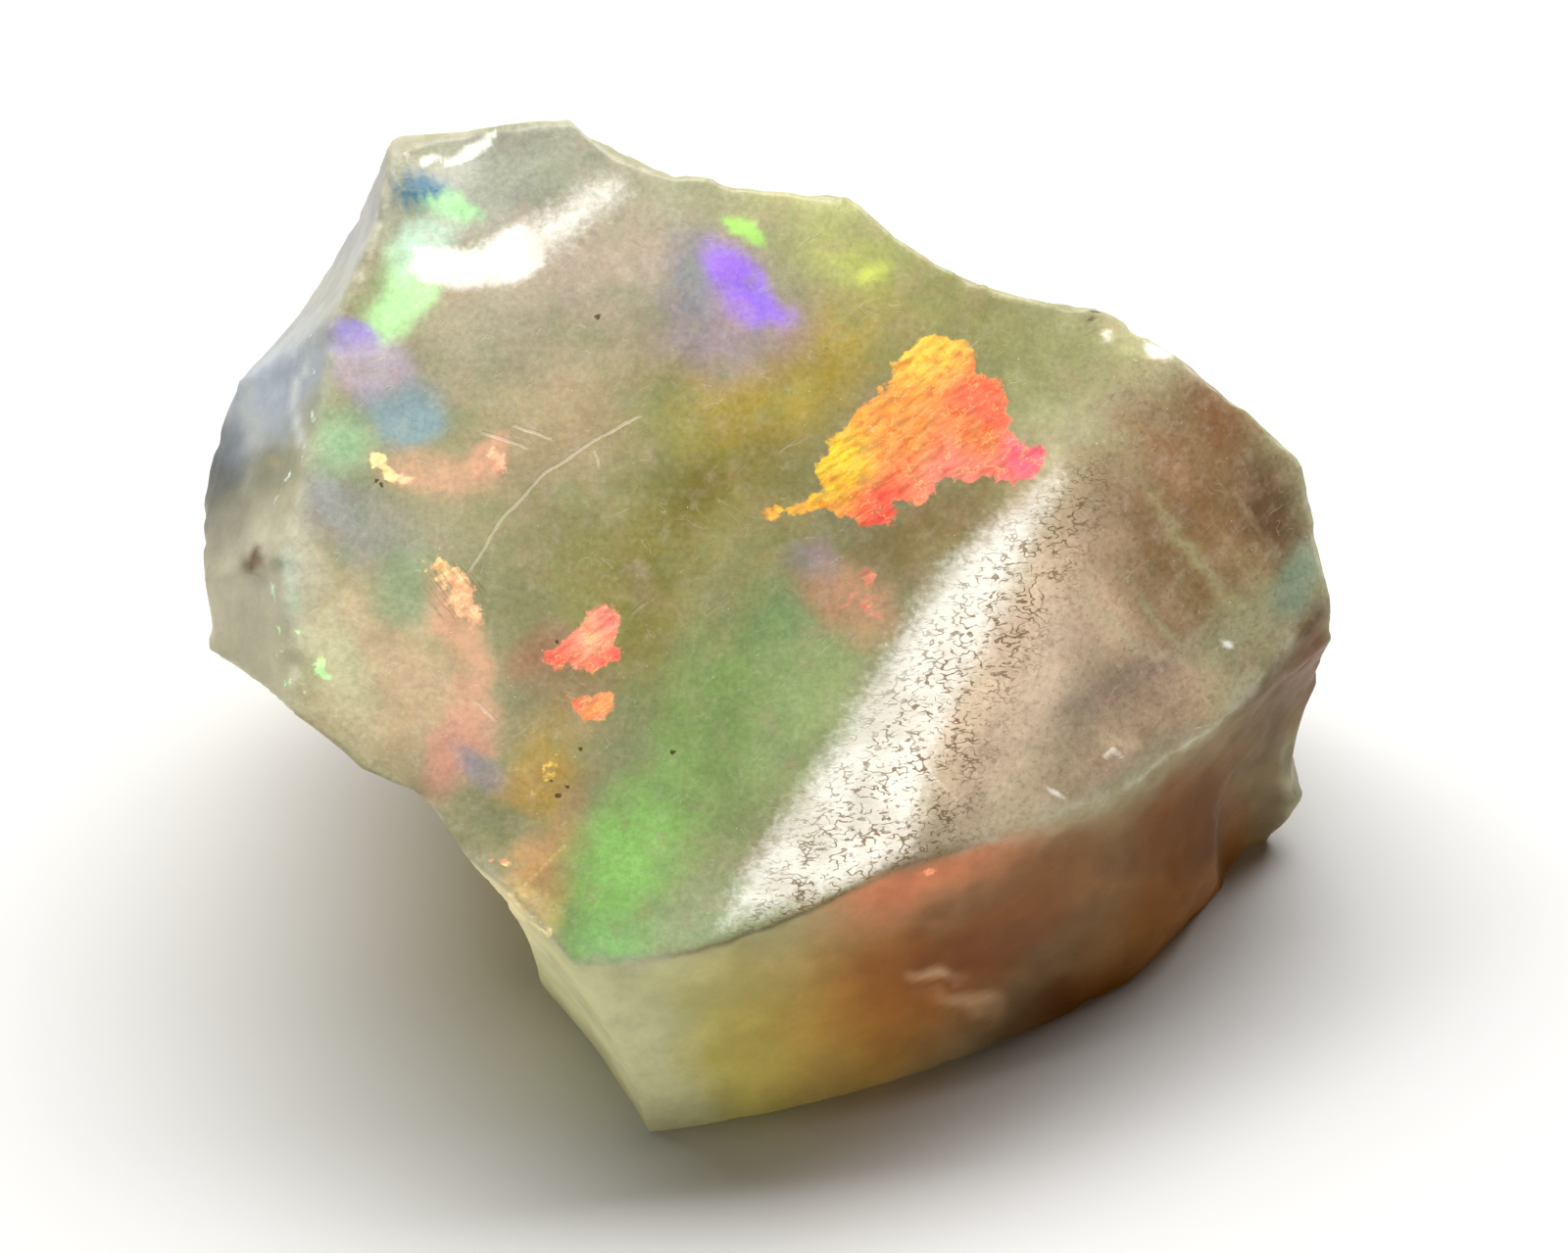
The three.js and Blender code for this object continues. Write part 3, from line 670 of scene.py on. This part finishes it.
mesh = bpy.data.meshes.new("opal_stone")
mesh.vertices.add(len(place))
mesh.vertices.foreach_set("co", ((place @ lean_up + STAND) * MM).astype(np.float32).ravel())
mesh.loops.add(triangles.size)
mesh.loops.foreach_set("vertex_index", triangles.ravel().astype(np.int32))
mesh.polygons.add(len(triangles))
mesh.polygons.foreach_set("loop_start", np.arange(0, triangles.size, 3, dtype=np.int32))
mesh.polygons.foreach_set("use_smooth", np.ones(len(triangles), bool))
mesh.update(calc_edges=True)
mesh.validate()
stone = bpy.data.objects.new("opal_stone", mesh)
bpy.context.scene.collection.objects.link(stone)

paint = {
    "body": (body, glow),
    "fire": (fire, fire_level),
    "marks": (np.stack([frost_highlight, right_grain, painted_rim], -1), on_top),
    "scratches": (np.stack([scratch_side / (2 * SCRATCH_REACH) + 0.5, scratch_here, pitted], -1), in_view),
}
for name, (colour, alpha) in paint.items():
    layer = mesh.attributes.new(name, "FLOAT_COLOR", "POINT")
    layer.data.foreach_set("color", np.column_stack([colour, alpha]).astype(np.float32).ravel())

# Rough precious opal: cloudy silica with water in it, broken along smooth shells, so the faces are glassy but for
# dust, hairline scratches and a frosted wall with worm-like pits, with a painted highlight over the frost. A painted
# glow in the colour of the place stands in for the light that goes in and comes out again, stronger on the walls and
# fading near the floor. The sizes of its patterns are in mm.
opal = bpy.data.materials.new("rough precious opal")
opal.use_nodes = True
nodes, links = opal.node_tree.nodes, opal.node_tree.links
shader = nodes["Principled BSDF"]

ATTRIBUTE, SPLIT, MIX = "ShaderNodeAttribute", "ShaderNodeSeparateColor", "ShaderNodeMix"
MATH, VECTOR, RANGE = "ShaderNodeMath", "ShaderNodeVectorMath", "ShaderNodeMapRange"
TIMES, TIMES_PLUS = {"operation": "MULTIPLY"}, {"operation": "MULTIPLY_ADD"}
PLUS, MINUS = {"operation": "ADD"}, {"operation": "SUBTRACT"}
LARGER, SIZE_OF = {"operation": "MAXIMUM"}, {"operation": "ABSOLUTE"}
SCALED, APART = {"operation": "SCALE"}, {"operation": "DISTANCE"}
EASED, COLOURS = {"interpolation_type": "SMOOTHSTEP"}, {"data_type": "RGBA"}


def add(kind, settings, inputs, output=0):
    """Adds a node with its settings and its inputs, by name or in order: each is a socket to link, a value, or a hex
    colour in full light. Gives back one of its outputs."""
    node = nodes.new(kind)
    for name, value in settings.items():
        setattr(node, name, value)
    for name, value in inputs.items() if isinstance(inputs, dict) else enumerate(inputs):
        if isinstance(value, str):
            value = (*linear(value) * AS_SEEN, 1)
        if isinstance(value, bpy.types.NodeSocket):
            links.new(value, node.inputs[name])
        else:
            node.inputs[name].default_value = value
    return node.outputs[output]


def grain(size, detail=2, turned=0, stretch=(1, 1, 1)):
    """Noise with lumps of a size in mm, in the frame of the broad face, turned about w by some degrees and drawn out
    by a factor along each way."""
    scale = [1 / (size * factor) for factor in stretch]
    turned_in = add("ShaderNodeVectorRotate", {"rotation_type": "Z_AXIS"},
                    {"Vector": in_mm, "Angle": -np.radians(turned)})
    scaled = add(VECTOR, TIMES, [turned_in, scale])
    return add("ShaderNodeTexNoise", {}, {"Vector": scaled, "Scale": 1, "Detail": detail, "Roughness": 0.6})


def thin_line(pattern, at, half_width):
    """A line along one level of a pattern: 1 within half a width of that level, easing to 0 at twice that."""
    above = add(MATH, MINUS, [pattern, at])
    away = add(MATH, SIZE_OF, [above])
    return add(RANGE, EASED, [away, half_width, 2 * half_width, 1, 0])


def covered(colour, tone, share, most):
    """A colour with a tone over it, by a share times the most that it may take."""
    part = add(MATH, TIMES, [share, most])
    return add(MIX, COLOURS, {0: part, 6: colour, 7: tone}, 2)


def clouded(colour, tone, pattern, low, high, least, most, there):
    """A colour with a tone over it where a pattern is high: the share goes from least to most while the pattern goes
    from low to high, times how much of the place may have it."""
    lumps = add(RANGE, EASED, [pattern, low, high, least, most])
    return covered(colour, tone, lumps, there)


from_world = add("ShaderNodeTexCoord", {}, {}, "Object")
in_mm = add("ShaderNodeMapping", {}, {
    "Vector": from_world, "Scale": (1 / MM, 1 / MM, 1 / MM), "Rotation": (-LEAN, 0, 0),
    "Location": -(STAND @ lean_up.T)})
body_colour, _, _, glow_share = add(ATTRIBUTE, {"attribute_name": "body"}, {}).node.outputs
fire_colour, _, _, fire_depth = add(ATTRIBUTE, {"attribute_name": "fire"}, {}).node.outputs
marks, _, _, up_share = add(ATTRIBUTE, {"attribute_name": "marks"}, {}).node.outputs
scratch_field = add(ATTRIBUTE, {"attribute_name": "scratches"}, {})
frost_highlight_share, grain_share, painted_rim_share = add(SPLIT, {}, [marks]).node.outputs
scratch_aside, scratch_there, pitted_share = add(SPLIT, {}, [scratch_field]).node.outputs

# Cloudy body: lumps of milkiness from 1.1 mm down to 0.1 mm, with less green on the right face
wisps = grain(0.35, 4)
clouding = add(RANGE, EASED, [grain(1.1, 4), 0.3, 0.7, 0.86, 1.12])
colour = add(VECTOR, SCALED, {0: body_colour, "Scale": clouding})
off_right_face = add(MATH, TIMES_PLUS, [grain_share, -0.85, up_share])
milky = grain(0.15, 4, turned=55, stretch=(2, 1, 1))
colour = clouded(colour, "#83986a", grain(0.8, 3), 0.5, 0.7, 0, 0.3, off_right_face)
colour = clouded(colour, "#c4a48c", grain(0.7, 3, turned=70), 0.5, 0.7, 0, 0.26, up_share)
colour = clouded(colour, "#dcd4bc", wisps, 0.5, 0.75, 0, 0.16, up_share)
colour = clouded(colour, "#e2e2c4", milky, 0.52, 0.75, 0, 0.1, up_share)
mottle_depth = add(MATH, TIMES_PLUS, [up_share, 0.5, 0.15])
mottle = add(MATH, MINUS, [grain(0.1, 4), 0.5])
mottle = add(MATH, TIMES_PLUS, [mottle, mottle_depth, 1])
colour = add(VECTOR, SCALED, {0: colour, "Scale": mottle})

# Fire: the flakes, with an edge torn by fine noise, fibres of light and dark, redder lumps and gold threads in them.
# The one like a fan is ruled with fine dark lines.
FAN_AT = (-5.2, 0.55, FACE_HEIGHT)
torn = add(MATH, TIMES_PLUS, [grain(0.25, 6), 0.9, -0.45])
torn = add(MATH, PLUS, [fire_depth, torn])
flake = add(RANGE, EASED, [torn, 0.44, 0.56, 0, 1])
fibres = grain(0.1, 4, turned=32, stretch=(3.5, 1, 1))
fibres = add(RANGE, EASED, [fibres, 0.3, 0.7, 0.64, 1.24])
fire_lit = add(VECTOR, SCALED, {0: fire_colour, "Scale": fibres})
redder = add(VECTOR, TIMES, [fire_lit, (0.95, 0.6, 0.6)])
fire_lit = clouded(fire_lit, redder, grain(0.22, 5), 0.5, 0.66, 0, 0.8, 1)
threads = thin_line(grain(0.35, 4, turned=40, stretch=(2, 1, 1)), 0.5, 0.006)
fire_lit = covered(fire_lit, "#ffe28a", threads, 0.3)
colour = clouded(colour, fire_lit, grain(0.2, 5), 0.35, 0.6, 0.8, 0.97, flake)
from_fan = add(VECTOR, APART, [in_mm, FAN_AT], "Value")
in_fan = add(RANGE, EASED, [from_fan, 0.35, 0.6, 1, 0])
fan_lines = grain(0.04, 2, turned=-52, stretch=(24, 1, 1))
colour = clouded(colour, "#7d7048", fan_lines, 0.5, 0.6, 0, 0.42, in_fan)

# The right face has a grain of pale streaks with grime between, and the rims are painted pale, as light that
# shows through their thin edges
streaks = grain(0.32, 3, turned=-52, stretch=(9, 1, 3))
colour = clouded(colour, "#c9bd92", streaks, 0.52, 0.7, 0, 0.22, grain_share)
colour = clouded(colour, "#5c4426", grain(0.11, 5), 0.5, 0.68, 0, 0.26, grain_share)
colour = clouded(colour, "#dfdcc6", grain(0.4, 3), 0.35, 0.65, 0.05, 0.35, painted_rim_share)

# Frost with a painted highlight over it, pale and glowing, broken by worm-like pits painted brown
highlight_edge = add(MATH, TIMES_PLUS, [grain(0.12, 6), 0.7, -0.35])
frosted_highlight = add(MATH, PLUS, [frost_highlight_share, highlight_edge])
frosted_highlight = add(RANGE, EASED, [frosted_highlight, 0.3, 0.95, 0, 1])
highlight_lumps = add(RANGE, EASED, [grain(0.9, 2), 0.36, 0.58, 0.76, 1])
frosted_highlight = add(MATH, TIMES, [frosted_highlight, highlight_lumps])
colour = covered(colour, "#f8f4ea", frosted_highlight, 0.8)
worms = thin_line(grain(0.13, 1, stretch=(1.6, 1, 1)), 0.5, 0.02)
worms_there = add(RANGE, EASED, [grain(0.25, 4), 0.42, 0.56, 0, 1])
worms = add(MATH, TIMES, [worms, worms_there])
strokes = grain(0.06, 2, turned=12, stretch=(3, 1, 1))
strokes = add(RANGE, EASED, [strokes, 0.57, 0.66, 0, 0.9])
strokes_there = add(RANGE, EASED, [grain(0.4, 3), 0.38, 0.56, 0, 1])
strokes = add(MATH, TIMES, [strokes, strokes_there])
pits = add(MATH, LARGER, [worms, strokes])
pits = add(MATH, TIMES, [pits, pitted_share])
colour = covered(colour, "#8b6c40", pits, 0.8)

# Scratches: the named ones, a little wavy, and two sets of hairlines that come and go. Each row of a set: its
# pattern, the level and half width of its line, the patches that it shows in, and the level where they start.
wobble = add(MATH, TIMES_PLUS, [grain(0.5, 2), 0.2, -0.1])
wavy = add(MATH, PLUS, [scratch_aside, wobble])
cracks = add(MATH, TIMES, [thin_line(wavy, 0.5, 0.034), scratch_there])
hairs = 0
for pattern, at, half_width, patches, low in (
        (grain(0.42, 2, turned=40, stretch=(5, 1, 1)), 0.5, 0.0035, grain(0.6, 2), 0.54),
        (grain(0.4, 2, turned=-35, stretch=(3, 1, 1)), 0.47, 0.004, grain(0.5, 2), 0.56)):
    lines = thin_line(pattern, at, half_width)
    lines_there = add(RANGE, EASED, [patches, low, 0.64, 0, 1])
    lines = add(MATH, TIMES, [lines, lines_there])
    hairs = add(MATH, LARGER, [lines, hairs])
hairs = add(MATH, TIMES, [hairs, up_share])
faint_hairs = add(MATH, TIMES, [hairs, 0.42])
scratched = add(MATH, LARGER, [cracks, faint_hairs])
colour = covered(colour, "#e6dcbf", scratched, 0.44)

# Dust: pale specks all over the top, and a few dark ones, each with its u, v and radius in mm
DARK_SPECKS = [
    (-6.5, 2.33, 0.02), (-6.42, 2.27, 0.025), (-2.97, 4.95, 0.03), (-1.78, -2.0, 0.026), (-3.62, -0.23, 0.02),
    (-3.25, -1.95, 0.024), (-3.6, -2.7, 0.03), (-3.45, -2.55, 0.018), (-3.7, -2.45, 0.016),
]
dust = add(RANGE, EASED, [grain(0.06, 1), 0.76, 0.82, 0, 1])
dust = add(MATH, TIMES, [dust, up_share])
colour = covered(colour, "#f2ecd8", dust, 0.7)
flat_place = add(VECTOR, TIMES, [in_mm, (1, 1, 0)])
uneven = add(MATH, TIMES_PLUS, [grain(0.05, 3), 0.12, -0.06])
specks = 0
for u, v, radius in DARK_SPECKS:
    away = add(VECTOR, APART, [flat_place, (u, v, 0)], "Value")
    away = add(MATH, PLUS, [away, uneven])
    speck = add(RANGE, EASED, [away, radius, radius * 1.8, 1, 0])
    specks = add(MATH, LARGER, [speck, specks])
specks = add(MATH, TIMES, [specks, up_share])
colour = covered(colour, "#4d4128", specks, 0.85)

# Painted glow: the share from the mesh, more in the flakes and in the painted highlight where no pit breaks it
flake_glow = add(MATH, TIMES_PLUS, [up_share, 0.3, 0.1])
glow_here = add(MATH, TIMES_PLUS, [flake, flake_glow, glow_share])
clean_highlight = add(MATH, MINUS, [frosted_highlight, pits])
glow_here = add(MATH, TIMES_PLUS, [clean_highlight, 0.3, glow_here])
glowing = add(VECTOR, SCALED, {0: colour, "Scale": glow_here})

# Gloss: waxy on top, duller where it is frosted and on the walls
roughness = add(RANGE, EASED, [wisps, 0.4, 0.7, 0.2, 0.27])
roughness = add(MATH, TIMES_PLUS, [frosted_highlight, 0.06, roughness])
off_top = add(MATH, MINUS, [1, up_share])
roughness = add(MATH, TIMES_PLUS, [off_top, 0.2, roughness])

# Fine relief: each pattern and its height in mm
frost_bumps = add(MATH, TIMES, [frosted_highlight, grain(0.12, 4)])
height = 0
for pattern, rise in ((grain(0.5, 4), 0.02), (grain(0.06, 2), 0.002), (frost_bumps, 0.014), (pits, -0.012),
                      (scratched, -0.006), (dust, 0.006)):
    height = add(MATH, TIMES_PLUS, [pattern, rise, height])
relief = add("ShaderNodeBump", {}, {"Height": height, "Distance": MM, "Strength": 1})

links.new(colour, shader.inputs["Base Color"])
links.new(roughness, shader.inputs["Roughness"])
links.new(relief, shader.inputs["Normal"])
links.new(glowing, shader.inputs["Emission Color"])
shader.inputs["Emission Strength"].default_value = 1
shader.inputs["IOR"].default_value = 1.45
shader.inputs["Specular IOR Level"].default_value = 0.26
shader.inputs["Subsurface Weight"].default_value = 0.15
shader.inputs["Subsurface Radius"].default_value = (1, 0.75, 0.45)
shader.inputs["Subsurface Scale"].default_value = 0.5 * MM
mesh.materials.append(opal)
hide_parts("opal")
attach(stone, "root")

# The floor: a sheet of matt white paper, wide enough to fill the picture.
floor_mesh = bpy.data.meshes.new("paper")
half = 0.4
floor_mesh.from_pydata([(-half, -half, 0), (half, -half, 0), (half, half, 0), (-half, half, 0)], [], [(0, 1, 2, 3)])
floor = bpy.data.objects.new("paper", floor_mesh)
bpy.context.scene.collection.objects.link(floor)
paper = bpy.data.materials.new("matt white paper")
paper.use_nodes = True
paper_shader = paper.node_tree.nodes["Principled BSDF"]
paper_shader.inputs["Base Color"].default_value = (0.9, 0.9, 0.89, 1)
paper_shader.inputs["Roughness"].default_value = 0.9
floor_mesh.materials.append(paper)

# The light: a wide sheet of light above and behind the stone, and a long lamp over it that runs down to the left,
# whose reflection falls on the painted highlights of the crescent in the scoop and the band along the trough.
middle = Vector((0, 0, 5 * MM))


def soft_box(name, towards, along, distance, size, radiance):
    """Rectangular area light at a distance along a direction from the stone, facing it, with its long side in the
    second direction. Its power is pi times its area times the radiance."""
    light = bpy.data.lights.new(name, "AREA")
    light.shape = "RECTANGLE"
    light.size, light.size_y = size
    light.energy = radiance * np.pi * size[0] * size[1]
    lamp = bpy.data.objects.new(name, light)
    back = Vector(towards).normalized()
    short_side = back.cross(Vector(along)).normalized()
    long_side = short_side.cross(back)
    lamp.matrix_world = Matrix.Translation(middle + back * distance) @ Matrix(
        (long_side, short_side, back)).transposed().to_4x4()
    bpy.context.scene.collection.objects.link(lamp)


soft_box("back_sheet", (-0.04, 0.5, 0.87), (1, 0.1, 0), 0.4, (0.56, 0.16), 9.4)
soft_box("long_lamp", (-0.3, 0.06, 0.95), (-0.66, -0.275, -0.2), 0.3, (0.24, 0.012), 5.5)
world = bpy.data.worlds.new("white room")
world.use_nodes = True
world.node_tree.nodes["Background"].inputs["Color"].default_value = (1, 0.86, 0.68, 1)
world.node_tree.nodes["Background"].inputs["Strength"].default_value = 0.04
bpy.context.scene.world = world

# The camera looks square on to the broad face from 124 mm away, so 55 degrees above level.
camera_data = bpy.data.cameras.new("camera")
camera_data.sensor_width = 36
camera_data.lens = 36 * 120 / 25
camera_data.clip_start = 0.01
camera_data.clip_end = 2
camera = bpy.data.objects.new("camera", camera_data)
camera.location = Vector((np.array([0, 0, 124]) @ lean_up + STAND) * MM)
camera.rotation_euler = (LEAN, 0, 0)
bpy.context.scene.collection.objects.link(camera)
bpy.context.scene.camera = camera
bpy.context.scene.view_settings.view_transform = "Standard"
